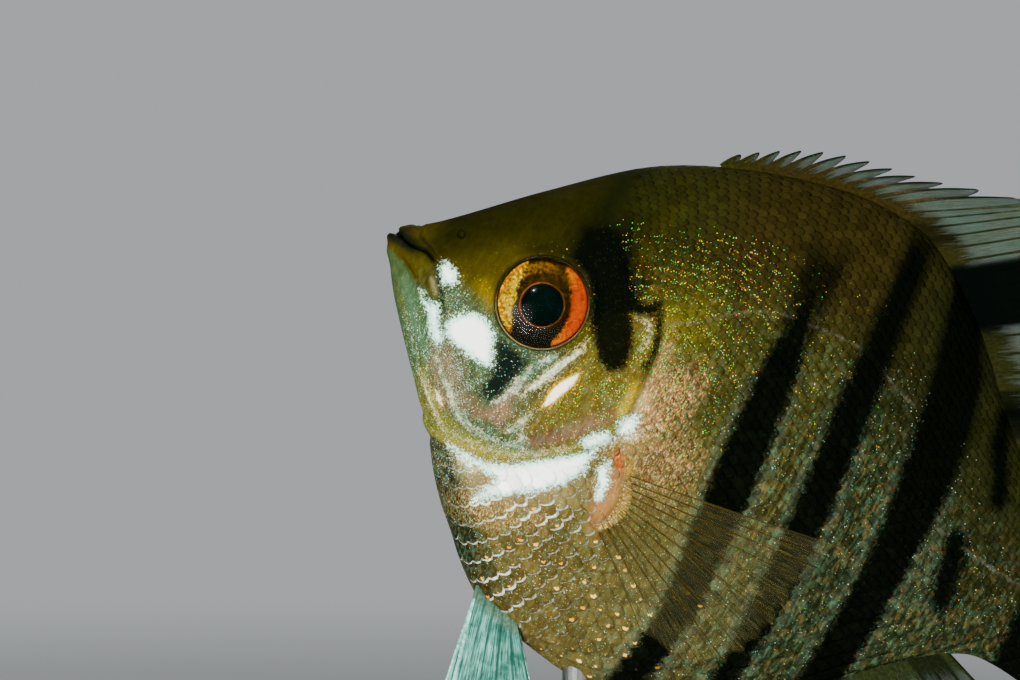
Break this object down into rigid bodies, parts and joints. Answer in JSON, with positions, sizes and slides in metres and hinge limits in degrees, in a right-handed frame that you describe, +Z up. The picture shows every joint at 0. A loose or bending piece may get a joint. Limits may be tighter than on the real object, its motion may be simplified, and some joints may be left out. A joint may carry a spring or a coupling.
{
  "type": "freshwater angelfish",
  "caption": "Life-size freshwater angelfish, deep and thin in the body, with tall back and belly fins, swimming nose-up on a plain rod stand.",
  "frame": {"origin": "middle of the stand's underside", "axes": "+Z up, the fish faces -X with its nose raised, and its left side faces -Y"},
  "size_m": [0.1353, 0.054, 0.1211],
  "materials": {
    "skin": "wet scaled skin, bronze-olive with dark bars and silvery cheeks",
    "eye": "clear wet cornea over a gold and orange iris",
    "fin": "thin ribbed membrane, olive-grey with dark bands",
    "clear_fin": "thin clear membrane with yellow-olive rays",
    "blue_fin": "pearly blue-green rays",
    "stand_wood": "dark satin hardwood",
    "stand_steel": "brushed"
  },
  "bodies": {
    "root": {"head": "skin", "lower_jaw": "skin", "gill_cover_left": "skin", "gill_cover_right": "skin", "trunk": "skin", "tail_stalk": "skin", "eye_left": "eye", "eye_right": "eye", "dorsal_fin": "fin", "anal_fin": "fin", "caudal_fin": "fin", "pectoral_fin_left": "clear_fin", "pectoral_fin_right": "clear_fin", "pelvic_fin_left": "blue_fin", "pelvic_fin_right": "blue_fin", "stand_base": "stand_wood", "stand_rod": "stand_steel"}
  },
  "joints": []
}
